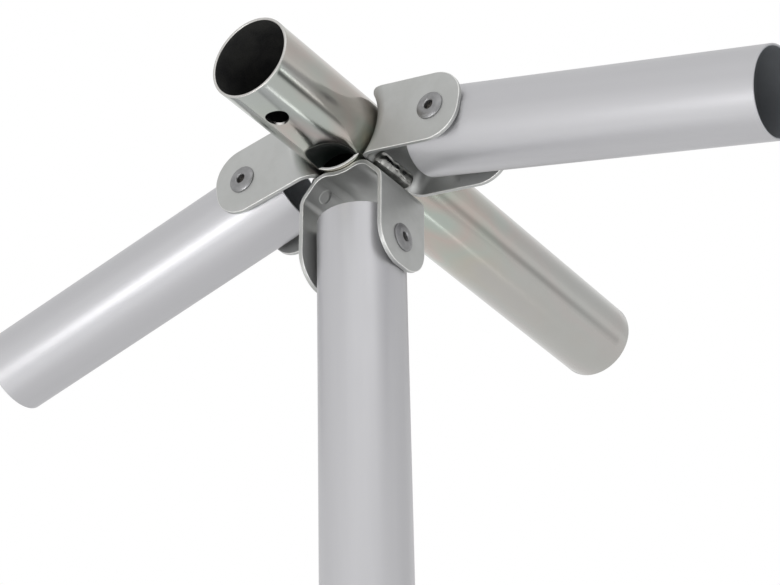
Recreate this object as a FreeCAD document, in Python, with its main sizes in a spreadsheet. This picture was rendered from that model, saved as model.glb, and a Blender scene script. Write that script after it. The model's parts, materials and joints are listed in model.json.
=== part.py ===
import FreeCAD, Part
import itertools
import os
import re
import Sketcher

# Ridge joint of a folding frame, in millimetres and degrees. The origin is on the ridge tube's axis, where
# the forks meet it. +Y runs along the ridge towards its long end, +Z is up and +X is across.

DRIVING = {
    # ridge tube
    "ridge_od": 38.0, "ridge_wall": 1.2, "ridge_front": 81.5, "ridge_rear": 199.0,
    "lock_hole_dia": 10.0, "lock_hole_setback": 20.2,
    # pole stop: the tube's underside pressed in by a slanted round punch and sheared along its back edge
    "stop_punch_radius": 9.0, "stop_depth": 6.0, "stop_length": 18.5, "stop_back": 20.0,
    # rafter and leg tubes
    "tube_od": 38.0, "tube_wall": 1.0, "tube_overhang": 14.0, "rafter_reach": 152.3, "leg_reach": 186.0,
    "rafter_slope_angle": 15.3, "leg_lean_angle": 2.25,
    # fork straps
    "strap_thickness": 2.0, "strap_width": 32.5, "bend_radius": 5.5, "peak_radius": 7.0,
    "arm_end": 14.3, "end_flat": 4.0, "side_clearance": 0.3, "seat_gap": 0.05, "leg_seat_gap": 0.3,
    "fork_tilt": 10.0, "side_saddle_radius": 27.0, "lip_round": 8.0,
    "swing_room": 5.35, "leg_swing_room": 7.8, "shoulder_angle": 48.0, "shoulder_gap": 0.2,
    # dished spots under the leg fork's shoulders
    "dimple_dia": 6.4, "dimple_depth": 0.35, "dimple_slant": 0.9, "dimple_out": 14.6, "dimple_spread": 7.0,
    # blind rivets, with heads domed in two cones
    "rivet_dia": 6.4, "rivet_head_dia": 12.6, "rivet_head_height": 1.9, "rivet_rim": 0.6, "rivet_crown": 1.1,
    "rivet_shoulder_dia": 9.6, "rivet_shoulder_height": 1.5, "rivet_clearance": 0.05,
    "bulb_dia": 9.2, "bulb_length": 5.0, "bulb_taper": 0.8, "bulb_gap": 0.15,
    "mandrel_dia": 4.0, "mandrel_clearance": 0.05, "mandrel_recess": 2.2,
    "mandrel_head_dia": 5.6, "mandrel_head_length": 3.0,
    # weld beads, lumpy along their length
    "bead_radius": 2.1, "bead_lump_radius": 2.45, "bead_pitch": 4.0, "bead_rise": 0.5, "bead_out": 1.1,
}

BEAD_LUMPS = 6

FOLLOWING = {
    "ridge_radius": "ridge_od / 2",
    "ridge_length": "ridge_front + ridge_rear",
    "stop_angle": "atan(stop_depth / stop_length) / 1deg",
    "tube_radius": "tube_od / 2",
    "tube_bore_radius": "tube_radius - tube_wall",
    # the strap's faces: arms across the tube, seat on the ridge tube and the inside of the base
    "arm_in": "tube_radius + side_clearance",
    "arm_out": "arm_in + strap_thickness",
    "seat": "ridge_radius + seat_gap",
    "base_in": "seat + strap_thickness",
    "leg_seat": "ridge_radius + leg_seat_gap",
    "leg_base_in": "leg_seat + strap_thickness",
    # a tube's end swings on this radius, and the rivets stand clear of the base by it
    "swing_radius": "sqrt(tube_overhang ^ 2 + tube_radius ^ 2)",
    "rivet_reach": "base_in + swing_room + swing_radius",
    "rivet_drop": "leg_base_in + leg_swing_room + swing_radius",
    "arm_tip": "rivet_reach + arm_end",
    "leg_tip": "rivet_drop + arm_end",
    "end_round": "(strap_width - end_flat) / 2",
    # a side fork's base is a saddle as long, across the strap, as the strap is wide, and ends in two lips
    "saddle_center": "seat - side_saddle_radius",
    "lip_angle": "strap_width / (2 * side_saddle_radius + strap_thickness) * 180 / pi",
    "lip_start": "side_saddle_radius - strap_thickness",
    "lip_x": "saddle_center + (side_saddle_radius + strap_thickness) * cos(lip_angle)",
    "lip_z": "(side_saddle_radius + strap_thickness) * sin(lip_angle)",
    "lip_root": "saddle_center + strap_width / 2 / tan(lip_angle)",
    # outer corner of its lower lip: the leg fork's shoulder passes under it
    "corner_x": "lip_x * cos(fork_tilt) - lip_z * sin(fork_tilt)",
    "corner_z": "-lip_x * sin(fork_tilt) - lip_z * cos(fork_tilt)",
    "shoulder": "corner_x * sin(shoulder_angle) + corner_z * cos(shoulder_angle) - shoulder_gap",
    "shoulder_under": "shoulder - strap_thickness",
    "saddle_half": "leg_seat * sin(acos(-shoulder / leg_seat) / 1deg - shoulder_angle)",
    "saddle_top": "-sqrt(leg_seat ^ 2 - saddle_half ^ 2)",
    "crease_half": "leg_base_in * sin(acos(-shoulder_under / leg_base_in) / 1deg - shoulder_angle)",
    "crease_top": "-sqrt(leg_base_in ^ 2 - crease_half ^ 2)",
    "elbow_z": "(shoulder - arm_out * sin(shoulder_angle)) / cos(shoulder_angle)",
    "elbow_under_z": "(shoulder_under - arm_in * sin(shoulder_angle)) / cos(shoulder_angle)",
    # rivets, measured from the strap's outer face
    "hole_radius": "rivet_dia / 2 + rivet_clearance",
    "mandrel_hole_radius": "mandrel_dia / 2 + mandrel_clearance",
    "crown_radius": "mandrel_hole_radius + rivet_crown",
    "grip": "arm_out - sqrt(tube_bore_radius ^ 2 - bulb_dia ^ 2 / 4) + bulb_gap",
    "rivet_depth": "grip + bulb_length",
    "mandrel_top": "rivet_head_height - mandrel_recess",
    # the first lump of a bead, with the run centred on the hub
    "bead_start": "-bead_pitch * %d / 2" % (BEAD_LUMPS - 1),
}
X_AXIS = FreeCAD.Vector(1, 0, 0)
Y_AXIS = FreeCAD.Vector(0, 1, 0)
Z_AXIS = FreeCAD.Vector(0, 0, 1)

doc = FreeCAD.newDocument("cross_tube_connector")


def makeSheet():
    sheet = doc.addObject("Spreadsheet::Sheet", "Dims")
    formulas = {name: "=" + formula for name, formula in FOLLOWING.items()}
    for row, (name, content) in enumerate({**DRIVING, **formulas}.items(), start=1):
        sheet.set("A%d" % row, name)
        sheet.set("B%d" % row, str(content))
        sheet.setAlias("B%d" % row, name)
    doc.recompute()
    return sheet


sheet = makeSheet()


def cells(formula):
    # The formula with each dimension's name turned into its cell.
    def cell(match):
        name = match.group()
        return "Dims." + name if name in DRIVING or name in FOLLOWING else name
    return re.sub(r"[a-z_]+", cell, formula)


def value(formula):
    return float(sheet.evalExpression(cells(formula)))


def bind(item, prop, formula):
    item.setExpression(prop, cells(formula))


def place(item, x="0", y="0", z="0", yaw="0", pitch="0", roll="0"):
    spot = "create(<<vector>>; %s; %s; %s)" % (x, y, z)
    turn = "create(<<rotation>>; %s; %s; %s)" % (yaw, pitch, roll)
    bind(item, "Placement", "create(<<placement>>; %s; %s)" % (spot, turn))


# Sketches

def newBody(label):
    body = doc.addObject("PartDesign::Body", label)
    body.Label = label
    return body


def newSketch(body, role, name):
    sketch = body.newObject("Sketcher::SketchObject", name)
    plane = next(item for item in body.Origin.OriginFeatures if item.Role == role)
    sketch.AttachmentSupport = [(plane, "")]
    sketch.MapMode = "FlatFace"
    return sketch


def constrain(sketch, kind, *where):
    return sketch.addConstraint(Sketcher.Constraint(kind, *where))


def dimension(sketch, kind, formula, *where):
    index = constrain(sketch, kind, *where, value(formula))
    name = "size%d" % index
    sketch.renameConstraint(index, name)
    bind(sketch, "Constraints." + name, formula)


def pin(sketch, geometry, x, y, point=1):
    # Ties a point of the geometry to its place from the sketch's origin, on an axis where that is "0".
    for kind, formula, axis in (("DistanceX", x, -2), ("DistanceY", y, -1)):
        if formula == "0":
            constrain(sketch, "PointOnObject", geometry, point, axis)
        else:
            dimension(sketch, kind, formula, -1, 1, geometry, point)


def spots(corners):
    return [FreeCAD.Vector(value(x), value(y), 0) for x, y in corners]


def polygon(sketch, corners):
    places = spots(corners)
    for i, start in enumerate(places):
        sketch.addGeometry(Part.LineSegment(start, places[(i + 1) % len(places)]))
    for i, (x, y) in enumerate(corners):
        constrain(sketch, "Coincident", i, 2, (i + 1) % len(places), 1)
        pin(sketch, i, x, y)


def circle(sketch, radius, x="0", y="0"):
    center = FreeCAD.Vector(value(x), value(y), 0)
    ring = sketch.addGeometry(Part.Circle(center, Z_AXIS, value(radius)))
    dimension(sketch, "Radius", radius, ring)
    pin(sketch, ring, x, y, point=3)


# Features

def pad(body, sketch, length, side="One side", back=False):
    feature = body.newObject("PartDesign::Pad", sketch.Name + "_pad")
    feature.Profile = sketch
    feature.SideType = side
    feature.Reversed = back
    bind(feature, "Length", length)
    doc.recompute()
    return feature


def drillThrough(body, role, x="0", y="0"):
    before = body.Shape.Volume
    sketch = newSketch(body, role, body.Name + "_hole")
    circle(sketch, "hole_radius", x, y)
    feature = body.newObject("PartDesign::Pocket", sketch.Name + "_cut")
    feature.Profile = sketch
    feature.SideType = "Symmetric"
    feature.Type = "ThroughAll"
    doc.recompute()
    if not body.Shape.Volume < before:
        raise RuntimeError("the hole cuts nothing in " + body.Label)


def roundEdges(body, direction, places, radius, slack=0.01):
    # Rounds the straight edges along a direction whose lines pass through the places.
    base = body.Tip
    names = []
    for number, edge in enumerate(base.Shape.Edges, start=1):
        straight = isinstance(edge.Curve, Part.Line) and edge.Curve.Direction.cross(direction).Length < slack
        if straight and any((spot - edge.CenterOfMass).cross(direction).Length < slack for spot in places):
            names.append("Edge%d" % number)
    if len(names) < len(places):
        raise RuntimeError("an edge to round is missing in " + body.Label)
    feature = body.newObject("PartDesign::Fillet", body.Name + "_round")
    feature.Base = (base, names)
    bind(feature, "Radius", radius)
    doc.recompute()


def bothSides(x, y, z, mirror):
    spot = FreeCAD.Vector(value(x), value(y), value(z))
    return [spot, FreeCAD.Vector(*(-a if axis == mirror else a for axis, a in zip("xyz", spot)))]


def revolve(body, sketch):
    feature = body.newObject("PartDesign::Revolution", sketch.Name + "_turned")
    feature.Profile = sketch
    feature.ReferenceAxis = (sketch, ["V_Axis"])
    feature.Angle = 360
    doc.recompute()
    return feature


# Ridge tube

def cylinder(name, radius, height):
    item = doc.addObject("Part::Cylinder", name)
    bind(item, "Radius", radius)
    bind(item, "Height", height)
    return item


def cut(name, base, tool):
    item = doc.addObject("Part::Cut", name)
    item.Label = name
    item.Base = base
    item.Tool = tool
    return item


def ridgeCylinder(name, radius):
    item = cylinder(name, radius, "ridge_length")
    place(item, y="-ridge_front", roll="-90")
    return item


def stopPunch(name, radius):
    # Its flat end is the shear line, and its axis slants down towards the tube's front end.
    item = cylinder(name, radius, "3 * stop_length")
    place(item, y="stop_punch_radius * sin(stop_angle) - stop_back",
          z="stop_depth - ridge_radius - stop_punch_radius * cos(stop_angle)", roll="90 + stop_angle")
    return item


def makeRidgeTube():
    pressed = cut("ridge_pressed", ridgeCylinder("ridge_rod", "ridge_radius"),
                  stopPunch("stop_punch", "stop_punch_radius"))
    cavity = cut("ridge_cavity", ridgeCylinder("ridge_bore", "ridge_radius - ridge_wall"),
                 stopPunch("stop_wall", "stop_punch_radius + ridge_wall"))
    hollow = cut("ridge_hollow", pressed, cavity)
    drill = cylinder("lock_drill", "lock_hole_dia / 2", "ridge_od")
    place(drill, y="lock_hole_setback - ridge_front", z="-ridge_od")
    return cut("ridge_tube", hollow, drill)


# Side forks: a strap bent into a U, with its base pressed to a saddle across the ridge tube

def roundRims(body, rim, out, radius, slack=0.01):
    # Rounds the circular edges of a turned body with the rim's radius, that far out on either side.
    base = body.Tip
    names = []
    for number, edge in enumerate(base.Shape.Edges, start=1):
        circular = isinstance(edge.Curve, Part.Circle) and abs(edge.Curve.Radius - value(rim)) < slack
        if circular and abs(abs(edge.CenterOfMass.y) - value(out)) < slack:
            names.append("Edge%d" % number)
    if len(names) != 2:
        raise RuntimeError("a rim to round is missing in " + body.Label)
    feature = body.newObject("PartDesign::Fillet", body.Name + "_round")
    feature.Base = (base, names)
    bind(feature, "Radius", radius)
    doc.recompute()


def makeSideBend(label):
    # The U's section turned about the saddle's axis, so that the bends follow the saddle.
    body = newBody(label)
    section = newSketch(body, "XY_Plane", label + "_section")
    bind(section, "AttachmentOffset.Base.x", "saddle_center")
    tip = "arm_tip + strap_thickness - saddle_center"
    outer, inner = "side_saddle_radius", "side_saddle_radius + strap_thickness"
    polygon(section, [
        (outer, "-arm_out"), (tip, "-arm_out"), (tip, "-arm_in"), (inner, "-arm_in"),
        (inner, "arm_in"), (tip, "arm_in"), (tip, "arm_out"), (outer, "arm_out")])
    revolve(body, section)
    roundRims(body, outer, "arm_out", "bend_radius + strap_thickness")
    roundRims(body, inner, "arm_in", "bend_radius")
    return body


def makeSideBlank(label):
    # The strap's outline seen along the ridge: lips at the saddle, rounded arm ends and the rivet hole.
    body = newBody(label)
    outline = newSketch(body, "XZ_Plane", label + "_outline")
    lip = ("saddle_center + lip_start * cos(lip_angle)", "lip_start * sin(lip_angle)")
    upper = [lip, ("lip_root", "strap_width / 2"), ("arm_tip", "strap_width / 2")]
    polygon(outline, upper + [(x, "-" + z) for x, z in reversed(upper)])
    pad(body, outline, "2 * arm_out + strap_thickness", side="Symmetric")
    for x, radius in (("lip_root", "lip_round"), ("arm_tip", "end_round")):
        roundEdges(body, Y_AXIS, bothSides(x, "0", "strap_width / 2", mirror="z"), radius)
    drillThrough(body, "XZ_Plane", x="rivet_reach")
    return body


def makeSideFork(label, yaw):
    fork = doc.addObject("Part::Common", label)
    fork.Label = label
    fork.Base = makeSideBend(label + "_bend")
    fork.Tool = makeSideBlank(label + "_blank")
    for body in (fork.Base, fork.Tool):
        place(body, yaw=yaw, pitch="fork_tilt")
    doc.recompute()
    return fork


# Leg fork: the base is pressed up around the ridge tube and slopes down a shoulder to each arm

def arcBelow(radius, half):
    # Arc about the ridge axis, from straight below it to half a width on the +X side.
    center = Part.Circle(FreeCAD.Vector(0, 0, 0), Z_AXIS, value(radius))
    down = value("-90 * pi / 180")
    return Part.ArcOfCircle(center, down, down + value("asin(%s / %s) / 1rad" % (half, radius)))


def drawLegOutline(sketch):
    # Half of the strap's outline, on the +X side.
    peak, elbow, heel, toe, inner, crease = spots([
        ("saddle_half", "saddle_top"), ("arm_out", "elbow_z"), ("arm_out", "-leg_tip"),
        ("arm_in", "-leg_tip"), ("arm_in", "elbow_under_z"), ("crease_half", "crease_top")])
    crown, bottom = spots([("0", "-leg_seat"), ("0", "-leg_base_in")])
    saddle = sketch.addGeometry(arcBelow("leg_seat", "saddle_half"))
    for start, end in ((peak, elbow), (elbow, heel), (heel, toe), (toe, inner), (inner, crease)):
        last = sketch.addGeometry(Part.LineSegment(start, end))
    under = sketch.addGeometry(arcBelow("leg_base_in", "crease_half"))
    middle = sketch.addGeometry(Part.LineSegment(bottom, crown))
    for before in range(saddle, last):
        constrain(sketch, "Coincident", before, 2, before + 1, 1)
    constrain(sketch, "Coincident", last, 2, under, 2)
    constrain(sketch, "Coincident", under, 1, middle, 1)
    constrain(sketch, "Coincident", middle, 2, saddle, 1)
    for arc, radius, half in ((saddle, "leg_seat", "saddle_half"), (under, "leg_base_in", "crease_half")):
        constrain(sketch, "Coincident", arc, 3, -1, 1)
        constrain(sketch, "PointOnObject", arc, 1, -2)
        dimension(sketch, "Radius", radius, arc)
        dimension(sketch, "DistanceX", half, -1, 1, arc, 2)
    corners = (("arm_out", "elbow_z"), ("arm_out", "-leg_tip"),
               ("arm_in", "-leg_tip"), ("arm_in", "elbow_under_z"))
    for line, (x, y) in enumerate(corners, start=saddle + 2):
        pin(sketch, line, x, y)


def makeDimple(name, side, end):
    # A cone through the underside of the shoulder on that side, with its axis square to the strap.
    item = doc.addObject("Part::Cone", name)
    bind(item, "Radius1", "dimple_dia / 2 + dimple_slant")
    bind(item, "Radius2", "dimple_dia / 2 - dimple_slant")
    bind(item, "Height", "2 * dimple_depth")
    place(item, x=side + "(dimple_out - dimple_depth * sin(shoulder_angle))", y=end + "dimple_spread",
          z="(shoulder_under - dimple_out * sin(shoulder_angle)) / cos(shoulder_angle)"
            " - dimple_depth * cos(shoulder_angle)", pitch=side + "shoulder_angle")
    return item


def makeLegFork():
    body = newBody("leg_fork_strap")
    outline = newSketch(body, "XZ_Plane", "leg_fork_outline")
    drawLegOutline(outline)
    half = pad(body, outline, "strap_width", side="Symmetric")
    whole = body.newObject("PartDesign::Mirrored", "leg_fork_whole")
    whole.Originals = [half]
    whole.MirrorPlane = (next(item for item in body.Origin.OriginFeatures if item.Role == "YZ_Plane"), [""])
    body.Tip = whole
    doc.recompute()
    bends = (("saddle_half", "saddle_top", "peak_radius + strap_thickness"),
             ("crease_half", "crease_top", "peak_radius"),
             ("arm_out", "elbow_z", "bend_radius + strap_thickness"),
             ("arm_in", "elbow_under_z", "bend_radius"))
    for x, z, radius in bends:
        roundEdges(body, Y_AXIS, bothSides(x, "0", z, mirror="x"), radius)
    roundEdges(body, X_AXIS, bothSides("0", "strap_width / 2", "-leg_tip", mirror="y"), "end_round")
    drillThrough(body, "YZ_Plane", y="-rivet_drop")
    dimples = doc.addObject("Part::MultiFuse", "leg_fork_dimples")
    dimples.Shapes = [makeDimple("dimple%d" % number, side, end)
                      for number, (side, end) in enumerate(itertools.product(("-", ""), repeat=2))]
    return cut("leg_fork", body, dimples)


# Tubes: each is drawn hanging from its rivets and then swung to its resting angle

def makeTube(label, reach, holePlane, **resting):
    body = newBody(label)
    section = newSketch(body, "XY_Plane", label + "_section")
    bind(section, "AttachmentOffset.Base.z", "tube_overhang")
    circle(section, "tube_radius")
    circle(section, "tube_bore_radius")
    pad(body, section, reach + " + tube_overhang", back=True)
    drillThrough(body, holePlane)
    place(body, **resting)
    return body


# Blind rivets: a head on the strap, a bulb set inside the tube, and the mandrel's stub

def makeRivet(label, placing):
    body = newBody(label)
    outline = newSketch(body, "XZ_Plane", label + "_outline")
    polygon(outline, [
        ("mandrel_hole_radius", "-rivet_depth"), ("mandrel_hole_radius", "rivet_head_height"),
        ("crown_radius", "rivet_head_height"), ("rivet_shoulder_dia / 2", "rivet_shoulder_height"),
        ("rivet_head_dia / 2", "rivet_rim"), ("rivet_head_dia / 2", "0"),
        ("rivet_dia / 2", "0"), ("rivet_dia / 2", "-grip"), ("bulb_dia / 2", "-grip - bulb_taper"),
        ("bulb_dia / 2", "bulb_taper - rivet_depth"), ("rivet_dia / 2", "-rivet_depth")])
    revolve(body, outline)
    place(body, **placing)
    return body


def makeMandrel(label, placing):
    body = newBody(label)
    outline = newSketch(body, "XZ_Plane", label + "_outline")
    polygon(outline, [
        ("0", "mandrel_top"), ("mandrel_dia / 2", "mandrel_top"), ("mandrel_dia / 2", "-rivet_depth"),
        ("mandrel_head_dia / 2", "-rivet_depth"),
        ("mandrel_head_dia / 2", "-rivet_depth - mandrel_head_length / 2"),
        ("mandrel_dia / 2", "-rivet_depth - mandrel_head_length"),
        ("0", "-rivet_depth - mandrel_head_length")])
    revolve(body, outline)
    place(body, **placing)
    return body


# Weld beads: a lumpy run along the lower lip of a side fork, over the leg fork's shoulder

def makeWeld(label, yaw, sideFork, legFork):
    body = newBody(label + "_bead")
    outline = newSketch(body, "XZ_Plane", label + "_outline")
    corners = [("0", "bead_start - bead_lump_radius")]
    for number in range(BEAD_LUMPS):
        crest = "bead_start + bead_pitch * %d" % number
        corners += [("bead_lump_radius", crest), ("bead_radius", crest + " + bead_pitch / 2")]
    corners[-1] = ("0", "bead_lump_radius - bead_start")
    polygon(outline, corners)
    revolve(body, outline)
    lip = ("(lip_x + bead_out * cos(lip_angle) + bead_rise * sin(lip_angle))",
           "(lip_z + bead_out * sin(lip_angle) - bead_rise * cos(lip_angle))")
    along = {"x": "%s * cos(fork_tilt) - %s * sin(fork_tilt)" % lip,
             "z": "-%s * sin(fork_tilt) - %s * cos(fork_tilt)" % lip}
    place(body, x=("-(%s)" if yaw == "180" else "%s") % along["x"], z=along["z"], yaw=yaw, roll="-90")
    return cut(label, cut(label + "_fitted", body, sideFork), legFork)


def makeParts():
    pieces = [makeRidgeTube()]
    sides = (("left", "180", "-"), ("right", "0", ""))
    legFork = makeLegFork()
    pieces.append(legFork)
    for side, yaw, sign in sides:
        fork = makeSideFork(side + "_fork", yaw)
        pieces.append(fork)
        pieces.append(makeWeld(side + "_weld", yaw, fork, legFork))
        pivot = {"x": sign + "rivet_reach * cos(fork_tilt)", "z": "-rivet_reach * sin(fork_tilt)"}
        pieces.append(makeTube(side + "_rafter_tube", "rafter_reach", "XZ_Plane", yaw=yaw,
                               pitch="rafter_slope_angle - 90", **pivot))
        for end, y, roll in (("front", "-arm_out", "90"), ("rear", "arm_out", "-90")):
            outward = {"y": y, "roll": roll, **pivot}
            pieces.append(makeRivet("%s_%s_rivet" % (side, end), outward))
            pieces.append(makeMandrel("%s_%s_mandrel" % (side, end), outward))
    pieces.append(makeTube("leg_tube", "leg_reach", "YZ_Plane", z="-rivet_drop", roll="leg_lean_angle"))
    for end, x, pitch in (("left", "-arm_out", "-90"), ("right", "arm_out", "90")):
        outward = {"x": x, "z": "-rivet_drop", "pitch": pitch}
        pieces.append(makeRivet("leg_%s_rivet" % end, outward))
        pieces.append(makeMandrel("leg_%s_mandrel" % end, outward))
    doc.recompute()
    return pieces


def checkAll(pieces):
    for item in doc.Objects:
        if "Invalid" in item.State or "Error" in item.State:
            raise RuntimeError("%s failed: %s" % (item.Label, item.State))
    for piece in pieces:
        shape = piece.Shape
        if shape.isNull() or not shape.isValid() or len(shape.Solids) != 1:
            raise RuntimeError("%s is not one sound solid" % piece.Label)


def writeParts(pieces):
    os.makedirs("parts", exist_ok=True)
    for piece in pieces:
        piece.Shape.exportStep("parts/%s.step" % piece.Label)
        print("%-22s %10.1f mm3" % (piece.Label, piece.Shape.Volume))


parts = makeParts()
checkAll(parts)
writeParts(parts)
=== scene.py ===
import bpy
import bmesh
import json
import math
from mathutils import Euler, Matrix, Vector, noise


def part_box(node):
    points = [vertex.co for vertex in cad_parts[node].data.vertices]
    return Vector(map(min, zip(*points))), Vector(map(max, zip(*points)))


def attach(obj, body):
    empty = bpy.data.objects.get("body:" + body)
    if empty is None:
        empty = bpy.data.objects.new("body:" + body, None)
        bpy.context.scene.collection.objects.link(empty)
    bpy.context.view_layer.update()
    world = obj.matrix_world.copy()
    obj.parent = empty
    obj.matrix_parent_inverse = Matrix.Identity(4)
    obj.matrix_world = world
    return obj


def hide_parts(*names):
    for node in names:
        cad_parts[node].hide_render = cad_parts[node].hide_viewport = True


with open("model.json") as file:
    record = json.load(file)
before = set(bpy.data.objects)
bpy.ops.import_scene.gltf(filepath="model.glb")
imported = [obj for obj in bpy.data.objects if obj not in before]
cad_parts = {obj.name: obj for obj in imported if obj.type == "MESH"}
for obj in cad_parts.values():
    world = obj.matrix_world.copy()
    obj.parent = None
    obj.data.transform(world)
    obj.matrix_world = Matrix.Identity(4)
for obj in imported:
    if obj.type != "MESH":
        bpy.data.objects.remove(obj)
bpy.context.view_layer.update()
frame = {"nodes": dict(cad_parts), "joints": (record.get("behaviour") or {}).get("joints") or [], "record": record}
nodes = frame["nodes"]
joints = {joint["child"]: joint for joint in frame["joints"]}
scene = bpy.context.scene
mm = 0.001
print("frame loaded:", len(nodes), "nodes")


# where things are, read from the frame
def middle(name):
    low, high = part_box(name)
    return (low + high) / 2


def tubePlace(body):
    # the tube's pivot, and the turn that lays its axis along Z
    pivot = Vector(joints[body]["pos_m"])
    along = middle(body + "_tube") - pivot
    turn = along.normalized().rotation_difference(Vector((0, 0, 1)))
    return {"Pivot": pivot, "Turn": turn.to_euler()}


ridgeLow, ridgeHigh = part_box("ridge_tube")
ridgeRadius = ridgeHigh.x
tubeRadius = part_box("leg_tube")[1].x
ridgeWall = 1.2 * mm
tubeWall = 1.0 * mm
ridgePlace = {"Pivot": Vector((0, 0, 0)), "Turn": Euler((math.radians(90), 0, 0))}
tubePlaces = {body + "_tube": tubePlace(body) for body in ("left_rafter", "right_rafter", "leg")}


# shader helpers
def feed(tree, socket, value):
    # a link from another node, or a plain value
    if isinstance(value, bpy.types.NodeSocket):
        tree.links.new(value, socket)
    elif socket.type == "RGBA":
        socket.default_value = (*value, 1)
    else:
        socket.default_value = value


def addNode(tree, kind, inputs=None, **settings):
    made = tree.nodes.new(kind)
    for name, value in settings.items():
        setattr(made, name, value)
    for name, value in (inputs or {}).items():
        feed(tree, made.inputs[name], value)
    return made


def mathOf(tree, operation, a, b=0.0):
    return addNode(tree, "ShaderNodeMath", {0: a, 1: b}, operation=operation).outputs[0]


def vectorOf(tree, operation, a, b):
    return addNode(tree, "ShaderNodeVectorMath", {0: a, 1: b}, operation=operation).outputs[0]


def plusPart(tree, value, part, share):
    # the value and a share of another
    return mathOf(tree, "ADD", value, mathOf(tree, "MULTIPLY", part, share))


def rangeOf(tree, value, start, end, atStart=0.0, atEnd=1.0):
    # a smooth step from one level to another
    made = addNode(tree, "ShaderNodeMapRange", {
        "Value": value, "From Min": start, "From Max": end, "To Min": atStart, "To Max": atEnd},
        interpolation_type="SMOOTHSTEP")
    return made.outputs["Result"]


def mixColor(tree, factor, a, b, blend="MIX"):
    made = addNode(tree, "ShaderNodeMix", {0: factor, 6: a, 7: b}, data_type="RGBA", blend_type=blend)
    return made.outputs[2]


def partWay(tree, mask, share, a, b):
    # from one colour a share of the way to another, where the mask is
    return mixColor(tree, mathOf(tree, "MULTIPLY", mask, share), a, b)


def colorRamp(tree, factor, stops):
    made = addNode(tree, "ShaderNodeValToRGB", {"Fac": factor})
    ramp = made.color_ramp
    while len(ramp.elements) < len(stops):
        ramp.elements.new(0.5)
    for element, (place, color) in zip(ramp.elements, stops):
        element.position = place
        element.color = (*color, 1)
    return made.outputs["Color"]


noiseSpan = (0.3, 0.7)  # where most of a noise's values lie


def noiseOf(tree, vector, scale, detail, rough, output="Fac"):
    made = addNode(tree, "ShaderNodeTexNoise", {
        "Vector": vector, "Scale": scale, "Detail": detail, "Roughness": rough})
    return made.outputs[output]


def fromNoise(tree, value, low=0.0, high=1.0):
    # a noise's usual values, spread from low to high
    return rangeOf(tree, value, *noiseSpan, low, high)


def objectVector(tree):
    return addNode(tree, "ShaderNodeTexCoord").outputs["Object"]


def partsOf(tree, vector):
    return addNode(tree, "ShaderNodeSeparateXYZ", {0: vector}).outputs


def newGroup(name, inputs, outputs):
    # inputs: name -> (socket kind, default); outputs: name -> socket kind
    group = bpy.data.node_groups.new(name, "ShaderNodeTree")
    for label, (kind, default) in inputs.items():
        socket = group.interface.new_socket(name=label, in_out="INPUT", socket_type="NodeSocket" + kind)
        socket.default_value = default
    for label, kind in outputs.items():
        group.interface.new_socket(name=label, in_out="OUTPUT", socket_type="NodeSocket" + kind)
    return group, group.nodes.new("NodeGroupInput").outputs, group.nodes.new("NodeGroupOutput").inputs


def useGroup(tree, group, values):
    return addNode(tree, "ShaderNodeGroup", values, node_tree=group).outputs


placeSockets = {"Pivot": ("Vector", (0, 0, 0)), "Turn": ("Vector", (0, 0, 0))}


def tubeVector(tree, given):
    # object coordinates turned so that Z runs along the tube
    moved = vectorOf(tree, "SUBTRACT", objectVector(tree), given["Pivot"])
    turned = addNode(tree, "ShaderNodeVectorRotate", {"Vector": moved, "Rotation": given["Turn"]},
                     rotation_type="EULER_XYZ")
    return turned.outputs[0]


# effects shared by several finishes
drawnShape = {
    "Lines": {"fineness": 1.0, "stretch": 0.012},
    "Bands": {"fineness": 0.16, "stretch": 0.05},
}


def makeDrawnLines():
    # fine lines along a drawn or extruded tube, and wider bands of sheen
    group, given, out = newGroup(
        "drawnLines", {**placeSockets, "Fineness": ("Float", 900.0)}, {"Lines": "Float", "Bands": "Float"})
    where = tubeVector(group, given)
    for label, shape in drawnShape.items():
        across = mathOf(group, "MULTIPLY", given["Fineness"], shape["fineness"])
        along = mathOf(group, "MULTIPLY", across, shape["stretch"])
        scaling = addNode(group, "ShaderNodeCombineXYZ", {0: across, 1: across, 2: along}).outputs[0]
        scaled = vectorOf(group, "MULTIPLY", where, scaling)
        group.links.new(noiseOf(group, scaled, scale=1.0, detail=4.0, rough=0.6), out[label])
    return group


def makeDepthMask():
    # 0 on a tube's outside, rising to 1 as the surface goes in from one radius to another
    group, given, out = newGroup("depthMask", {
        **placeSockets, "Outer": ("Float", tubeRadius), "Inner": ("Float", tubeRadius - tubeWall)},
        {"Mask": "Float"})
    where = partsOf(group, tubeVector(group, given))
    squares = [mathOf(group, "POWER", where[axis], 2.0) for axis in ("X", "Y")]
    radius = mathOf(group, "SQRT", mathOf(group, "ADD", *squares))
    deep = rangeOf(group, radius, given["Inner"], given["Outer"], 1.0, 0.0)
    group.links.new(deep, out["Mask"])
    return group


def makeMottle():
    # cloudy patches and a fine grain, both from 0 to 1
    group, given, out = newGroup(
        "mottle", {"Patch": ("Float", 60.0), "Grain": ("Float", 1500.0)},
        {"Cloud": "Float", "Fine": "Float"})
    where = objectVector(group)
    cloud = noiseOf(group, where, given["Patch"], detail=4.0, rough=0.6)
    group.links.new(fromNoise(group, cloud), out["Cloud"])
    group.links.new(noiseOf(group, where, given["Grain"], detail=2.0, rough=0.5), out["Fine"])
    return group


scuffShape = {
    "turns": ((0.4, 0.28, 1.3), (1.9, 1.33, 1.3)), "stretch": (1.0, 0.06, 1.0), "fineness": 6.0,
    "width": 0.012, "bend": 0.03, "bendScale": 25.0, "limit": 0.78, "limitDrop": 0.25,
}


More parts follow.
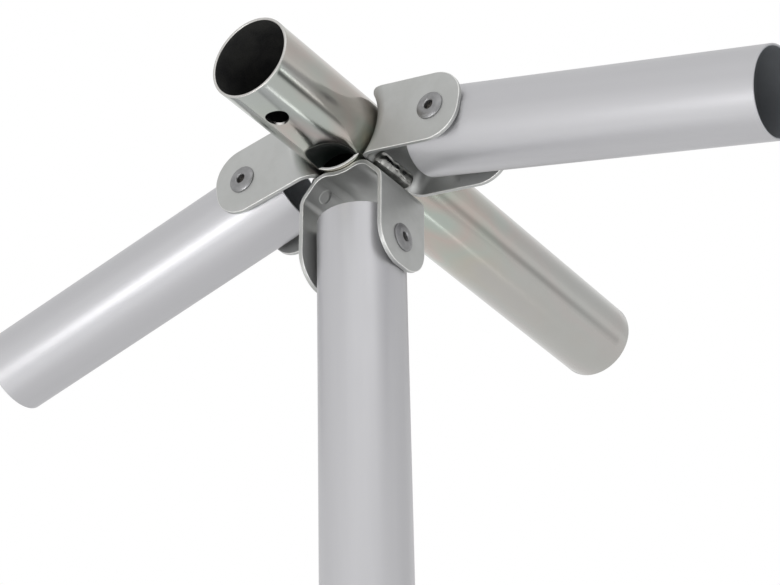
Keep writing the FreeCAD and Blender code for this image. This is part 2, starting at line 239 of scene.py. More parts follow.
def makeScuffs():
    # short thin scratches in a few places
    group, given, out = newGroup(
        "scuffs", {"Size": ("Float", 120.0), "Amount": ("Float", 0.5)}, {"Mask": "Float"})
    where = objectVector(group)
    drift = noiseOf(group, where, scuffShape["bendScale"], detail=1.0, rough=0.5, output="Color")
    bent = mixColor(group, scuffShape["bend"], where, drift)
    size = mathOf(group, "MULTIPLY", given["Size"], scuffShape["fineness"])
    marks = 0.0
    for turn in scuffShape["turns"]:
        turned = addNode(group, "ShaderNodeMapping", {
            "Vector": bent, "Rotation": turn, "Scale": scuffShape["stretch"]}).outputs[0]
        line = noiseOf(group, turned, size, detail=1.0, rough=0.4)
        fromLine = mathOf(group, "ABSOLUTE", mathOf(group, "SUBTRACT", line, 0.5))
        thin = rangeOf(group, fromLine, 0.0, scuffShape["width"], 1.0, 0.0)
        marks = mathOf(group, "MAXIMUM", marks, thin)
    spots = noiseOf(group, where, given["Size"], detail=2.0, rough=0.5)
    drop = mathOf(group, "MULTIPLY", given["Amount"], scuffShape["limitDrop"])
    limit = mathOf(group, "SUBTRACT", scuffShape["limit"], drop)
    placed = mathOf(group, "GREATER_THAN", spots, limit)
    group.links.new(mathOf(group, "MULTIPLY", marks, placed), out["Mask"])
    return group


filmShape = {
    "stretch": (1.0, 1.0, 0.45),
    "tints": [
        (0.24, (0.99, 0.97, 0.95)), (0.36, (1.02, 0.99, 0.86)), (0.44, (0.94, 1.02, 0.93)),
        (0.52, (1.06, 0.95, 0.89)), (0.62, (0.92, 1.03, 0.96)), (0.76, (0.92, 1.01, 1.0)),
    ],
}


def makePassivation():
    # pale yellow, pink and green film on zinc, in soft patches that run along the tube
    group, given, out = newGroup(
        "passivation", {**placeSockets, "Patch": ("Float", 22.0)}, {"Tint": "Color"})
    scaled = vectorOf(group, "MULTIPLY", tubeVector(group, given), filmShape["stretch"])
    film = noiseOf(group, scaled, given["Patch"], detail=2.0, rough=0.45)
    group.links.new(colorRamp(group, film, filmShape["tints"]), out["Tint"])
    return group


drawnLines = makeDrawnLines()
depthMask = makeDepthMask()
mottle = makeMottle()
scuffs = makeScuffs()
passivation = makePassivation()
print("shared effects made")


# helpers for the finishes, whose lines, patches, grain and scuffs are sized in noise cells to the metre
def newMaterial(name):
    made = bpy.data.materials.new(name)
    made.use_nodes = True
    return made, made.node_tree, made.node_tree.nodes["Principled BSDF"]


def setShader(tree, shader, color, rough, metallic):
    for label, value in (("Base Color", color), ("Roughness", rough), ("Metallic", metallic)):
        feed(tree, shader.inputs[label], value)


def addBump(tree, shader, height, strength, distance):
    made = addNode(tree, "ShaderNodeBump", {"Height": height, "Strength": strength, "Distance": distance})
    tree.links.new(made.outputs["Normal"], shader.inputs["Normal"])


def spotsOf(tree, finish):
    return useGroup(tree, mottle, {"Patch": finish["patch"], "Grain": finish["grain"]})


def scuffed(tree, finish, color):
    # pale scratches over a colour
    marks = useGroup(tree, scuffs, {"Size": finish["scuffSize"], "Amount": finish["scuffAmount"]})
    return partWay(tree, marks["Mask"], finish["scuffShare"], color, finish["scuff"])


# ridge tube's form: its pressed stop is a blunt dent, deepest where its back edge is sheared
ridgeShape = {
    "around": 180, "frontStep": 2 * mm, "stopStep": 0.5 * mm, "rearStep": 8 * mm, "rim": 0.4 * mm,
    "shearY": -18 * mm, "stopDepth": 6 * mm, "stopLength": 17 * mm, "runIn": 4 * mm, "punchHalf": 12 * mm,
    "blunt": 2.5, "soften": 1.6 * mm, "holeDia": 10 * mm, "holeSetback": 20.2 * mm, "holeSteps": 64,
    "seam": 0.02 * mm,  # places nearer than this count as one
}

# bright zinc on the ridge tube, with a painted shade and painted dark reflection in the pressed stop
zincTube = {
    "color": (0.472, 0.464, 0.450), "cloud": (0.40, 0.39, 0.36), "cloudShare": 0.10, "rough": (0.12, 0.20),
    "stop": (0.018, 0.023, 0.021), "stopHalf": 9.6 * mm, "stopFade": (0.98, 1.3), "stopRough": 0.4,
    "filmRise": (-70 * mm, 30 * mm, 0.7, 1.0), "filmFade": (50 * mm, 120 * mm, 1.0, 0.2), "filmPatch": 34.0,
    "lines": 700.0, "patch": 90.0, "grain": 1800.0, "grainShare": 0.3, "bump": (0.008, 0.2 * mm),
}


def paintedStopShade(tree):
    # 1 in the blunt half oval of the underside that the punch has pressed in, where the stop is painted dark for
    # the dent's shade and dark reflection
    x, y, z = partsOf(tree, objectVector(tree))
    past = mathOf(tree, "SUBTRACT", y, ridgeShape["shearY"])
    reach = []
    for part, size in ((x, zincTube["stopHalf"]), (past, ridgeShape["stopLength"])):
        share = mathOf(tree, "DIVIDE", mathOf(tree, "ABSOLUTE", part), size)
        reach.append(mathOf(tree, "POWER", share, ridgeShape["blunt"]))
    pressed = rangeOf(tree, mathOf(tree, "ADD", *reach), *zincTube["stopFade"], 1.0, 0.0)
    before = mathOf(tree, "LESS_THAN", past, ridgeShape["seam"])
    under = mathOf(tree, "LESS_THAN", z, 0.0)
    return mathOf(tree, "MULTIPLY", mathOf(tree, "MULTIPLY", pressed, before), under)


def makeZincTube():
    made, tree, shader = newMaterial("zinc_tube")
    lines = useGroup(tree, drawnLines, {**ridgePlace, "Fineness": zincTube["lines"]})
    film = useGroup(tree, passivation, {**ridgePlace, "Patch": zincTube["filmPatch"]})
    spots = spotsOf(tree, zincTube)
    paintedShade = paintedStopShade(tree)
    y = partsOf(tree, objectVector(tree))["Y"]
    rise, fade = [rangeOf(tree, y, *zincTube[part]) for part in ("filmRise", "filmFade")]
    amount = mathOf(tree, "MULTIPLY", rise, fade)
    plated = mixColor(tree, amount, zincTube["color"], film["Tint"], "MULTIPLY")
    clouded = partWay(tree, spots["Cloud"], zincTube["cloudShare"], plated, zincTube["cloud"])
    # painted shade: the pressed stop takes a near-black colour in place of the dent's shade and dark reflection
    color = mixColor(tree, paintedShade, clouded, zincTube["stop"])
    sheen = fromNoise(tree, lines["Bands"], *zincTube["rough"])
    setShader(tree, shader, color, plusPart(tree, sheen, paintedShade, zincTube["stopRough"]), 1.0)
    height = plusPart(tree, lines["Lines"], spots["Fine"], zincTube["grainShare"])
    addBump(tree, shader, height, *zincTube["bump"])
    return made


# the ridge tube's cut rims: zinc paler than the tube, partly bare cut metal and partly a painted highlight, a
# painted highlight on the lip at the shear, and painted shade in the stop
zincRim = {
    "color": (0.58, 0.57, 0.55), "wear": 0.4, "rough": (0.2, 0.34), "patch": 300.0, "grain": 2600.0,
    "lip": (0.88, 0.87, 0.85), "lipAt": 1 * mm, "lipFade": (1 * mm, 2 * mm), "lipMatt": 0.7,
}


def makeTubeRim():
    made, tree, shader = newMaterial("zinc_tube_rim")
    spots = spotsOf(tree, zincRim)
    # the rim's paler colour is partly bare cut metal and partly a painted highlight, mixed towards the tube's zinc
    # in patches
    wornAndHighlighted = partWay(tree, spots["Cloud"], zincRim["wear"], zincRim["color"], zincTube["color"])
    y = partsOf(tree, objectVector(tree))["Y"]
    past = mathOf(tree, "SUBTRACT", y, ridgeShape["shearY"])
    # painted highlight: a pale, matt band on the lip just behind the shear
    fromLip = mathOf(tree, "ABSOLUTE", mathOf(tree, "SUBTRACT", past, zincRim["lipAt"]))
    onLip = rangeOf(tree, fromLip, *zincRim["lipFade"], 1.0, 0.0)
    lipped = mixColor(tree, onLip, wornAndHighlighted, zincRim["lip"])
    # painted shade: rim faces in front of the shear, along the pressed stop, take the stop's near-black colour
    before = mathOf(tree, "LESS_THAN", past, -ridgeShape["seam"])
    near = mathOf(tree, "GREATER_THAN", past, -ridgeShape["stopLength"])
    paintedShade = mathOf(tree, "MULTIPLY", before, near)
    color = mixColor(tree, paintedShade, lipped, zincTube["stop"])
    matt = mathOf(tree, "MULTIPLY", onLip, zincRim["lipMatt"])
    dull = mathOf(tree, "MAXIMUM", paintedShade, matt)
    rough = plusPart(tree, fromNoise(tree, spots["Fine"], *zincRim["rough"]), dull, zincTube["stopRough"])
    setShader(tree, shader, color, rough, mathOf(tree, "SUBTRACT", 1.0, matt))
    return made


# the ridge tube's dull bore, near-black: painted shade down inside the tube
zincBore = {
    "color": (0.012, 0.012, 0.013), "cloud": (0.030, 0.030, 0.028), "rough": (0.6, 0.8),
    "patch": 120.0, "grain": 1500.0,
}


def makeTubeBore():
    made, tree, shader = newMaterial("zinc_tube_bore")
    spots = spotsOf(tree, zincBore)
    color = mixColor(tree, spots["Cloud"], zincBore["color"], zincBore["cloud"])
    setShader(tree, shader, color, fromNoise(tree, spots["Fine"], *zincBore["rough"]), 0.0)
    return made


# satin zinc on the fork straps
zincStrap = {
    "color": (0.505, 0.512, 0.503), "cloud": (0.44, 0.445, 0.43), "cloudShare": 0.3, "rough": (0.40, 0.52),
    "metallic": 0.86, "patch": 70.0, "grain": 2200.0, "bump": (0.06, 0.15 * mm),
    "scuff": (0.6, 0.6, 0.6), "scuffShare": 0.12, "scuffSize": 90.0, "scuffAmount": 0.4,
}


def makeZincStrap():
    made, tree, shader = newMaterial("zinc_strap")
    spots = spotsOf(tree, zincStrap)
    flat = partWay(tree, spots["Cloud"], zincStrap["cloudShare"], zincStrap["color"], zincStrap["cloud"])
    rough = rangeOf(tree, spots["Cloud"], 0.0, 1.0, *zincStrap["rough"])
    setShader(tree, shader, scuffed(tree, zincStrap, flat), rough, zincStrap["metallic"])
    addBump(tree, shader, spots["Fine"], *zincStrap["bump"])
    return made


# the fork straps' sheared edges, paler than the faces: partly bare sheared metal, partly a painted highlight along
# the edges
zincEdge = {
    "color": (0.78, 0.78, 0.76), "wear": 0.5, "rough": (0.42, 0.52), "patch": 400.0, "grain": 2600.0,
}


def makeStrapEdge():
    made, tree, shader = newMaterial("zinc_strap_edge")
    spots = spotsOf(tree, zincEdge)
    # paler edge colour: partly bare metal, partly a painted highlight
    color = partWay(tree, spots["Cloud"], zincEdge["wear"], zincEdge["color"], zincStrap["color"])
    setShader(tree, shader, color, fromNoise(tree, spots["Fine"], *zincEdge["rough"]), 1.0)
    return made


# bare metal in darker, rougher patches: the weld beads and the dull rivet bodies
weldMetal = {
    "color": (0.38, 0.38, 0.365), "dark": (0.06, 0.06, 0.055), "darkShare": 0.75, "rough": (0.12, 0.24),
    "patch": 200.0, "grain": 2600.0, "bump": (0.02, 0.15 * mm),
}
rivetMetal = {
    "color": (0.30, 0.30, 0.305), "dark": (0.17, 0.17, 0.17), "darkShare": 0.35, "rough": (0.34, 0.48),
    "patch": 300.0, "grain": 3000.0, "bump": (0.12, 0.15 * mm),
}


def makePatchyMetal(name, finish):
    made, tree, shader = newMaterial(name)
    spots = spotsOf(tree, finish)
    color = partWay(tree, spots["Cloud"], finish["darkShare"], finish["color"], finish["dark"])
    setShader(tree, shader, color, rangeOf(tree, spots["Cloud"], 0.0, 1.0, *finish["rough"]), 1.0)
    addBump(tree, shader, spots["Fine"], *finish["bump"])
    return made


# dark broken ends of the mandrels
mandrelMetal = {
    "color": (0.045, 0.043, 0.04), "pale": (0.12, 0.11, 0.10), "rough": (0.45, 0.7),
    "patch": 700.0, "grain": 4000.0, "bump": (0.6, 0.3 * mm),
}


def makeMandrelMetal():
    made, tree, shader = newMaterial("mandrel_metal")
    spots = spotsOf(tree, mandrelMetal)
    color = mixColor(tree, spots["Cloud"], mandrelMetal["color"], mandrelMetal["pale"])
    setShader(tree, shader, color, fromNoise(tree, spots["Fine"], *mandrelMetal["rough"]), 1.0)
    addBump(tree, shader, spots["Cloud"], *mandrelMetal["bump"])
    return made


# satin anodised aluminium on the swinging tubes, duller inside; insideFrom is in shares of the wall
anodised = {
    "color": (0.555, 0.553, 0.570), "band": (0.50, 0.50, 0.515), "bandShare": 0.3, "rough": (0.34, 0.42),
    "cloudRough": 0.03, "metallic": 0.7, "lines": 1100.0, "patch": 35.0, "grain": 2600.0, "grainShare": 0.4,
    "bump": (0.04, 0.15 * mm), "inside": (0.34, 0.355, 0.375), "insideRough": 0.5, "insideFrom": (0.5, 0.7),
    "scuff": (0.62, 0.62, 0.62), "scuffShare": 0.10, "scuffSize": 60.0, "scuffAmount": 0.35,
}


def makeAnodised(name, place):
    made, tree, shader = newMaterial(name)
    lines = useGroup(tree, drawnLines, {**place, "Fineness": anodised["lines"]})
    spots = spotsOf(tree, anodised)
    outer, inner = [tubeRadius - share * tubeWall for share in anodised["insideFrom"]]
    bore = useGroup(tree, depthMask, {**place, "Outer": outer, "Inner": inner})["Mask"]
    toned = partWay(tree, lines["Bands"], anodised["bandShare"], anodised["color"], anodised["band"])
    color = mixColor(tree, bore, scuffed(tree, anodised, toned), anodised["inside"])
    sheen = fromNoise(tree, lines["Bands"], *anodised["rough"])
    clouded = plusPart(tree, sheen, spots["Cloud"], anodised["cloudRough"])
    rough = mathOf(tree, "MAXIMUM", clouded, mathOf(tree, "MULTIPLY", bore, anodised["insideRough"]))
    setShader(tree, shader, color, rough, anodised["metallic"])
    height = plusPart(tree, lines["Lines"], spots["Fine"], anodised["grainShare"])
    addBump(tree, shader, height, *anodised["bump"])
    return made


finishes = {
    "plated_tube": makeZincTube(), "plated_strap": makeZincStrap(),
    "weld": makePatchyMetal("weld_metal", weldMetal), "rivet": makePatchyMetal("rivet_metal", rivetMetal),
    "mandrel": makeMandrelMetal(),
}
strapEdge = makeStrapEdge()
tubeRim = makeTubeRim()
tubeBore = makeTubeBore()
print("finishes made")

# rounded edges and even shading on the CAD solids; angles in degrees
edgeShape = {
    "widths": {"plated_strap": 0.32 * mm, "anodised_tube": 0.12 * mm, "mandrel": 0.25 * mm},
    "segments": 3, "corner": 40, "crease": 38, "flat": 0.3, "merge": 0.002 * mm,
}


def makeEvenShading():
    # smooth faces, with a crease where the surface turns sharply
    group = bpy.data.node_groups.new("evenShading", "GeometryNodeTree")
    group.is_modifier = True
    for way in ("INPUT", "OUTPUT"):
        group.interface.new_socket(name="Geometry", in_out=way, socket_type="NodeSocketGeometry")
    start = group.nodes.new("NodeGroupInput").outputs[0]
    plain = addNode(group, "GeometryNodeRemoveAttribute", {"Geometry": start, "Name": "custom_normal"})
    soft = addNode(group, "GeometryNodeSetShadeSmooth", {
        0: plain.outputs[0], "Shade Smooth": True}, domain="FACE")
    angle = addNode(group, "GeometryNodeInputMeshEdgeAngle").outputs["Unsigned Angle"]
    steep = mathOf(group, "GREATER_THAN", angle, math.radians(edgeShape["crease"]))
    creased = addNode(group, "GeometryNodeSetShadeSmooth", {
        0: soft.outputs[0], "Selection": steep, "Shade Smooth": False}, domain="EDGE")
    group.links.new(creased.outputs[0], group.nodes.new("NodeGroupOutput").inputs[0])
    return group


evenShading = makeEvenShading()


def joinFlats(item):
    item.modifiers.new("joined", "WELD").merge_threshold = edgeShape["merge"]
    flats = item.modifiers.new("flats", "DECIMATE")
    flats.decimate_type = "DISSOLVE"
    flats.angle_limit = math.radians(edgeShape["flat"])


def roundEdges(item, width, coat):
    # coat: the place of the edge's finish on the item, or -1 for that of the faces beside it
    edges = item.modifiers.new("edges", "BEVEL")
    edges.width = width
    edges.segments = edgeShape["segments"]
    edges.limit_method = "ANGLE"
    edges.angle_limit = math.radians(edgeShape["corner"])
    edges.use_clamp_overlap = False
    edges.material = coat


def evenOut(item):
    item.modifiers.new("shading", "NODES").node_group = evenShading
    item.modifiers.new("weights", "WEIGHTED_NORMAL").keep_sharp = True


def dressNode(name, slot):
    item = nodes[name]
    coats = item.data.materials
    coats.clear()
    if name in tubePlaces:
        coats.append(makeAnodised(name + "_anodised", tubePlaces[name]))
    else:
        coats.append(finishes[slot])
    if slot in edgeShape["widths"]:
        edgeCoat = -1
        if slot == "plated_strap":
            coats.append(strapEdge)
            edgeCoat = 1
        joinFlats(item)
        roundEdges(item, edgeShape["widths"][slot], edgeCoat)
        evenOut(item)


slots = {part["node"]: part["material_slot"] for part in frame["record"]["subparts"]}
for nodeName, nodeSlot in slots.items():
    dressNode(nodeName, nodeSlot)
print("nodes dressed")


# helpers for the pieces made here
def skin(work, near, far):
    # faces between two rings of corners
    for i in range(len(near)):
        j = (i + 1) % len(near)
        work.faces.new((near[i], far[i], far[j], near[j]))


def meshFrom(work, name):
    mesh = bpy.data.meshes.new(name)
    work.to_mesh(mesh)
    work.free()
    return mesh


def addPiece(name, mesh, node):
    # a made piece that rides on the hub, shown in place of a CAD node
    piece = bpy.data.objects.new(name, mesh)
    scene.collection.objects.link(piece)
    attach(piece, "hub")
    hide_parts(node)


def scratchObject(name, work):
    item = bpy.data.objects.new(name, meshFrom(work, name))
    scene.collection.objects.link(item)
    return item


def settle(item, name):
    # the item's mesh with its modifiers applied
    bpy.context.view_layer.update()
    shaped = item.evaluated_get(bpy.context.evaluated_depsgraph_get())
    mesh = bpy.data.meshes.new_from_object(shaped)
    mesh.name = name
    return mesh


# ridge tube: a rolled wall with the pressed stop, sheared along its back edge, and the lock hole
def smoothMax(a, b, soften):
    # the larger of two, with the corner where they cross rounded off
    near = max(soften - abs(a - b), 0) / soften
    return max(a, b) + near * near * soften / 4


def pressedHeight(x, y, height):
    # the punch has a blunt nose that lifts the tube's underside, most of all at the shear
    if height > 0:
        return height
    blunt = ridgeShape["blunt"]
    across = abs(x) / ridgeShape["punchHalf"]
    along = abs(y - ridgeShape["shearY"]) / ridgeShape["stopLength"]
    out = (across ** blunt + along ** blunt) ** (1 / blunt)
    nose = ridgeShape["stopDepth"] * (1 - out ** 2) - ridgeRadius
    return smoothMax(height, nose, ridgeShape["soften"])


def ridgeRing(work, y, pressed, shared=None):
    # one ring of the wall; a shared ring lends its corners where the two lie together
    ring = []
    for step in range(ridgeShape["around"]):
        turn = 2 * math.pi * step / ridgeShape["around"]
        x, z = ridgeRadius * math.sin(turn), -ridgeRadius * math.cos(turn)
        spot = Vector((x, y, pressedHeight(x, y, z) if pressed else z))
        if shared and (shared[step].co - spot).length < ridgeShape["seam"]:
            ring.append(shared[step])
        else:
            ring.append(work.verts.new(spot))
    return ring


def evenSteps(start, end, step):
    # places from start to end, about a step apart
    count = round((end - start) / step)
    return [start + (end - start) * i / count for i in range(count + 1)]


def makeRidgeWall():
    work = bmesh.new()
    shear = ridgeShape["shearY"]
    dentFrom = shear - ridgeShape["stopLength"] - ridgeShape["runIn"]
    places = evenSteps(ridgeLow.y, dentFrom, ridgeShape["frontStep"])[:-1]
    places += evenSteps(dentFrom, shear, ridgeShape["stopStep"])
    front = [ridgeRing(work, y, True) for y in places]
    rear = [ridgeRing(work, shear, False, front[-1])]
    rear += [ridgeRing(work, y, False) for y in evenSteps(shear, ridgeHigh.y, ridgeShape["rearStep"])[1:]]
    for run in (front, rear):
        for near, far in zip(run, run[1:]):
            skin(work, near, far)
    return scratchObject("ridgeWall", work)


def makeLockDrill():
    work = bmesh.new()
    radius = ridgeShape["holeDia"] / 2
    bmesh.ops.create_cone(work, cap_ends=True, segments=ridgeShape["holeSteps"], radius1=radius,
                          radius2=radius, depth=ridgeRadius)
    holeAt = Vector((0, ridgeLow.y + ridgeShape["holeSetback"], -ridgeRadius))
    bmesh.ops.translate(work, verts=work.verts, vec=holeAt)
    drill = scratchObject("lockDrill", work)
    drill.data.materials.append(tubeRim)
    return drill


def makeRidgeTube():
    wall, drill = makeRidgeWall(), makeLockDrill()
    for finish in (finishes["plated_tube"], tubeBore, tubeRim):
        wall.data.materials.append(finish)
    boreCoat, rimCoat = 1, 2
    thick = wall.modifiers.new("wall", "SOLIDIFY")
    thick.thickness = ridgeWall
    thick.offset = -1
    thick.material_offset = boreCoat
    thick.material_offset_rim = rimCoat
    roundEdges(wall, ridgeShape["rim"], rimCoat)
    hole = wall.modifiers.new("hole", "BOOLEAN")
    hole.object = drill
    hole.solver = "EXACT"
    hole.material_mode = "TRANSFER"
    wall.modifiers.new("shading", "NODES").node_group = evenShading
    mesh = settle(wall, "ridge_tube_wall")
    for item in (wall, drill):
        bpy.data.objects.remove(item)
    addPiece("ridge_tube_wall", mesh, "ridge_tube")


makeRidgeTube()
print("ridge tube made")

# blind rivets: a turned dome with a ring round its bore, and the set bulb inside the tube; crease in degrees
rivetShape = {
    "around": 72, "crease": 45, "solidTop": 1.9 * mm, "bore": 2.05 * mm, "shank": 3.2 * mm,
    "mouth": 0.9 * mm, "mouthTop": 1.2 * mm, "mouthFlare": 0.12 * mm,
    "ring": 2.6 * mm, "ringHalf": 0.15 * mm, "ringLift": 0.05 * mm, "groove": 3.0 * mm,
    "dome": 1.55 * mm, "domeCurve": 2.6, "domeSteps": 12,
    "rim": 0.6 * mm, "shoulder": 0.12 * mm, "shoulderDrop": 0.16 * mm, "heel": 0.1 * mm,
    "bulb": 4.6 * mm, "bulbLength": 5 * mm, "bulbCurve": 0.6, "bulbSteps": 10,
}


def rivetBore(foot):
    # up the bore and over the ring at its mouth, as (radius, height over the strap)
    shape = rivetShape
    return [
        (shape["bore"], foot), (shape["bore"], shape["mouth"]),
        (shape["bore"] + shape["mouthFlare"], shape["mouthTop"]),
        (shape["ring"] - shape["ringHalf"], shape["dome"]),
        (shape["ring"], shape["dome"] + shape["ringLift"]),
        (shape["ring"] + shape["ringHalf"], shape["dome"]),
    ]


def rivetHead(headRadius):
    # over the dome to the head's edge, and in under it
    shape = rivetShape
    points = []
    for step in range(shape["domeSteps"] + 1):
        share = math.sin(math.pi / 2 * step / shape["domeSteps"])
        radius = shape["groove"] + (headRadius - shape["shoulder"] - shape["groove"]) * share
        rise = 1 - share ** shape["domeCurve"]
        points.append((radius, shape["rim"] + (shape["dome"] - shape["rim"]) * rise))
    return points + [
        (headRadius, shape["rim"] - shape["shoulderDrop"]), (headRadius, shape["heel"]),
        (headRadius - shape["heel"], 0), (shape["shank"], 0),
    ]


def rivetBulb(foot):
    # down over the bulb that sets the rivet
    shape = rivetShape
    top = foot + shape["bulbLength"]
    swell = shape["bulb"] - shape["shank"]
    points = []
    for step in range(shape["bulbSteps"] + 1):
        share = step / shape["bulbSteps"]
        radius = shape["shank"] + swell * math.sin(math.pi * share) ** shape["bulbCurve"]
        points.append((radius, top + (foot - top) * share))
    return points


def turnedMesh(name, profile, base, outward):
    # a closed profile turned about the outward axis
    work = bmesh.new()
    lay = Matrix.Translation(base) @ outward.to_track_quat("Z", "Y").to_matrix().to_4x4()
    columns = []
    for step in range(rivetShape["around"]):
        turn = 2 * math.pi * step / rivetShape["around"]
        column = []
        for radius, height in profile:
            spot = Vector((radius * math.cos(turn), radius * math.sin(turn), height))
            column.append(work.verts.new(lay @ spot))
        columns.append(column)
    for column, after in zip(columns, columns[1:] + columns[:1]):
        skin(work, column, after)
    bmesh.ops.recalc_face_normals(work, faces=work.faces)
    mesh = meshFrom(work, name)
    mesh.shade_smooth()
    mesh.set_sharp_from_angle(angle=math.radians(rivetShape["crease"]))
    return mesh


def makeRivet(name):
    # the turned rivet stands where its solid does, whose head is solidTop high over the strap
    low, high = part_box(name)
    axis = 0 if name.startswith("leg") else 1
    fork = name.split("_")[0] + "_fork"
    outward = Vector((0, 0, 0))
    outward[axis] = math.copysign(1, middle(name)[axis] - middle(fork)[axis])
    size = high - low
    headRadius = max(size[i] for i in range(3) if i != axis) / 2
    base = middle(name)
    outerEnd = (high if outward[axis] > 0 else low)[axis]
    base[axis] = outerEnd - outward[axis] * rivetShape["solidTop"]
    foot = rivetShape["solidTop"] - size[axis]
    profile = rivetBore(foot) + rivetHead(headRadius) + rivetBulb(foot)
    mesh = turnedMesh(name + "_turned", profile, base, outward)
    mesh.materials.append(finishes["rivet"])
    addPiece(name + "_turned", mesh, name)


for nodeName, nodeSlot in slots.items():
    if nodeSlot == "rivet":
        makeRivet(nodeName)
print("rivets made")

# weld beads: a run of overlapping scales in the corner between a side fork and the leg fork
weldShape = {
    "at": (15.9 * mm, -16.7 * mm), "radius": 4.1 * mm, "endRoom": 0.1 * mm, "rings": 110, "around": 40,
    "scale": 5.2 * mm, "scaleDepth": 0.025, "scaleLean": 0.8 * mm,
    "lump": 0.11, "lumpLength": 8 * mm, "lumpFineness": 1.3, "lumpSeed": 7,
}


def beadRadius(y, turn, half, seed):
    # scales that lean along the run, lumps, and a rounded end
    radius = weldShape["radius"]
    past = max(abs(y) - (half - radius), 0) / radius
    phase = (y + weldShape["scaleLean"] * math.cos(turn)) / weldShape["scale"]
    scale = weldShape["scaleDepth"] * math.cos(2 * math.pi * phase)
    spot = Vector((math.cos(turn), math.sin(turn), y / weldShape["lumpLength"]))
    lump = weldShape["lump"] * noise.noise(spot * weldShape["lumpFineness"] + Vector((seed, 0, 0)))
    return radius * math.sqrt(max(1 - past * past, 0)) * (1 + scale + lump)


def beadRing(work, y, half, sign):
    x, z = weldShape["at"]
    ring = []
    for step in range(weldShape["around"]):
        turn = 2 * math.pi * step / weldShape["around"]
        radius = beadRadius(y, turn, half, weldShape["lumpSeed"] * sign)
        spot = (sign * (x + radius * math.cos(turn)), y, z + radius * math.sin(turn))
        ring.append(work.verts.new(spot))
    return ring


def makeBead(name, sign):
    low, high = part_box(name)
    half = (high.y - low.y) / 2 - weldShape["endRoom"]
    work = bmesh.new()
    turns = [math.pi * step / weldShape["rings"] for step in range(1, weldShape["rings"])]
    rings = [beadRing(work, -half * math.cos(turn), half, sign) for turn in turns]
    for near, far in zip(rings, rings[1:]):
        skin(work, near, far)
    for ring in (rings[0], rings[-1]):
        work.faces.new(ring)
    bmesh.ops.recalc_face_normals(work, faces=work.faces)
    mesh = meshFrom(work, name + "_bead")
    mesh.shade_smooth()
    mesh.materials.append(finishes["weld"])
    addPiece(name + "_bead", mesh, name)


makeBead("left_weld", -1)
makeBead("right_weld", 1)
print("welds made")

# stage: a pale floor far below, a white surround, soft lamps, dark flags and the camera
stageSetup = {
    "floorDrop": 4.5, "floorSize": 40.0, "floorColor": (0.82, 0.82, 0.82), "white": (1, 1, 1),
    "skyFill": 0.5, "mirrored": 0.82, "flagCore": 0.25,
}
lamps = {
    "frontStrip": {"toward": (-0.17, -0.81, -0.56), "far": 1.25, "size": (0.5, 0.26), "radiance": 7.6},
    "frontSoft": {"toward": (-0.35, -0.90, -0.05), "far": 1.4, "size": (1.2, 0.9), "radiance": 0.18},
    "legPanel": {"toward": (0.45, -0.70, 0.57), "far": 1.4, "size": (1.7, 0.9), "radiance": 0.46},
    "leftLow": {"toward": (-0.50, -0.32, -0.80), "far": 1.4, "size": (0.9, 0.8), "radiance": 0.42},
    "underFill": {"toward": (0.52, -0.22, -0.82), "far": 1.4, "size": (1.8, 1.6), "radiance": 0.86},
    "ridgeGlint": {"toward": (0.735, 0.60, -0.30), "far": 1.5, "size": (0.2, 0.045), "radiance": 2.6},
    "ridgeGlintLow": {"toward": (0.163, 0.650, -0.743), "far": 1.5, "size": (0.08, 0.21), "radiance": 2.6},
}
flags = {
    "streakFlag": {"toward": (0.680, 0.592, -0.43), "far": 1.6, "size": (0.55, 0.40), "tone": 0.12},
    "rearFlag": {"toward": (0.67, 0.74, -0.12), "far": 1.6, "size": (0.5, 0.46), "tone": 0.55},
    "armFlag": {"toward": (0.49, 0.69, 0.53), "far": 1.8, "size": (1.5, 1.3), "tone": 0.75},
}
# turned in degrees, with the lens in millimetres
cameraSetup = {"at": (0.5168, -0.7273, -0.6146), "turn": (121.285, -0.154, 34.525), "lens": 114.72}


def seenDirectly(tree):
    # 1 where the camera sees it, and most of that where it shows in a reflection
    path = addNode(tree, "ShaderNodeLightPath").outputs
    glossy = mathOf(tree, "MAXIMUM", path["Is Glossy Ray"], path["Is Transmission Ray"])
    mirrored = mathOf(tree, "MULTIPLY", glossy, stageSetup["mirrored"])
    return mathOf(tree, "MAXIMUM", path["Is Camera Ray"], mirrored)


def glow(tree, kind, strength):
    # an even white light
    return addNode(tree, kind, {"Color": stageSetup["white"], "Strength": strength}).outputs[0]


def mixShader(tree, factor, a, b):
    return addNode(tree, "ShaderNodeMixShader", {0: factor, 1: a, 2: b}).outputs[0]


def makeSheet(name, size):
    half = [side / 2 for side in size]
    mesh = bpy.data.meshes.new(name)
    corners = [(x * half[0], y * half[1], 0) for x, y in ((-1, -1), (1, -1), (1, 1), (-1, 1))]
    mesh.from_pydata(corners, [], [(0, 1, 2, 3)])
    sheet = bpy.data.objects.new(name, mesh)
    scene.collection.objects.link(sheet)
    made = bpy.data.materials.new(name)
    made.use_nodes = True
    made.node_tree.nodes.clear()
    mesh.materials.append(made)
    return sheet, made.node_tree


def makeFloor():
    floor, tree = makeSheet("pale_floor", (stageSetup["floorSize"], stageSetup["floorSize"]))
    floor.location.z = -stageSetup["floorDrop"]
    matt = addNode(tree, "ShaderNodeBsdfDiffuse", {"Color": stageSetup["floorColor"]}).outputs[0]
    both = mixShader(tree, seenDirectly(tree), matt, glow(tree, "ShaderNodeEmission", 1.0))
    tree.links.new(both, tree.nodes.new("ShaderNodeOutputMaterial").inputs["Surface"])


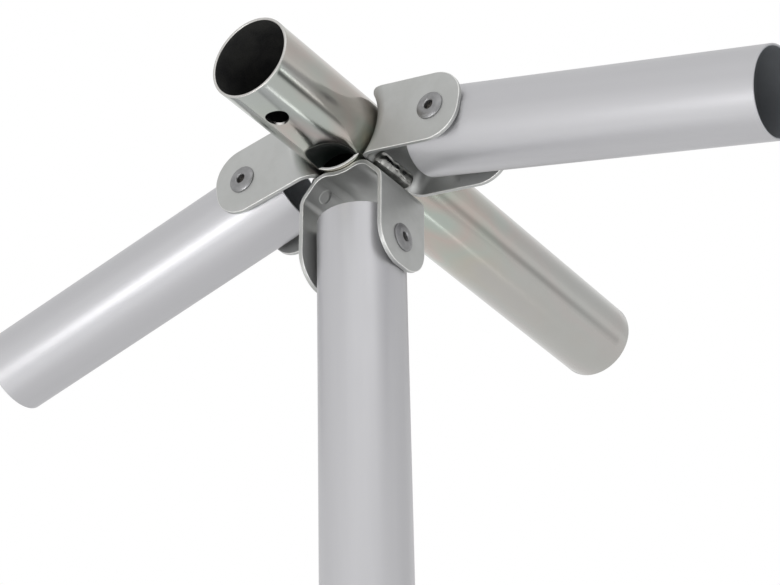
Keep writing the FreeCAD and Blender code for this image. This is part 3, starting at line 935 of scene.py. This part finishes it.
def makeSurround():
    world = bpy.data.worlds.new("surround")
    scene.world = world
    world.use_nodes = True
    tree = world.node_tree
    tree.nodes.clear()
    fill = glow(tree, "ShaderNodeBackground", stageSetup["skyFill"])
    both = mixShader(tree, seenDirectly(tree), fill, glow(tree, "ShaderNodeBackground", 1.0))
    tree.links.new(both, tree.nodes.new("ShaderNodeOutputWorld").inputs["Surface"])


def standFacing(item, setup):
    toward = Vector(setup["toward"]).normalized()
    item.location = toward * setup["far"]
    item.rotation_euler = (-toward).to_track_quat("-Z", "Y").to_euler()
    item.visible_camera = False


def makeLamp(name, setup):
    data = bpy.data.lights.new(name, "AREA")
    data.shape = "RECTANGLE"
    data.size, data.size_y = setup["size"]
    data.energy = setup["radiance"] * math.pi * data.size * data.size_y
    lamp = bpy.data.objects.new(name, data)
    standFacing(lamp, setup)
    scene.collection.objects.link(lamp)


def makeFlag(name, setup):
    # a dark card that fades out to the surround, which gives the bright metal something dark to mirror
    flag, tree = makeSheet(name, setup["size"])
    standFacing(flag, setup)
    flag.visible_shadow = False
    flag.visible_diffuse = False
    wide, high = setup["size"]
    scaled = vectorOf(tree, "MULTIPLY", objectVector(tree), (2 / wide, 2 / high, 0))
    out = addNode(tree, "ShaderNodeVectorMath", {0: scaled}, operation="LENGTH").outputs["Value"]
    fade = rangeOf(tree, out, stageSetup["flagCore"], 1.0, setup["tone"], stageSetup["mirrored"])
    tone = glow(tree, "ShaderNodeEmission", fade)
    tree.links.new(tone, tree.nodes.new("ShaderNodeOutputMaterial").inputs["Surface"])


def makeCamera():
    data = bpy.data.cameras.new("camera")
    data.lens = cameraSetup["lens"]
    camera = bpy.data.objects.new("camera", data)
    camera.location = cameraSetup["at"]
    camera.rotation_euler = [math.radians(angle) for angle in cameraSetup["turn"]]
    scene.collection.objects.link(camera)
    scene.camera = camera


makeFloor()
makeSurround()
for lampName, lampSetup in lamps.items():
    makeLamp(lampName, lampSetup)
for flagName, flagSetup in flags.items():
    makeFlag(flagName, flagSetup)
makeCamera()
scene.view_settings.view_transform = "Standard"
print("stage set")
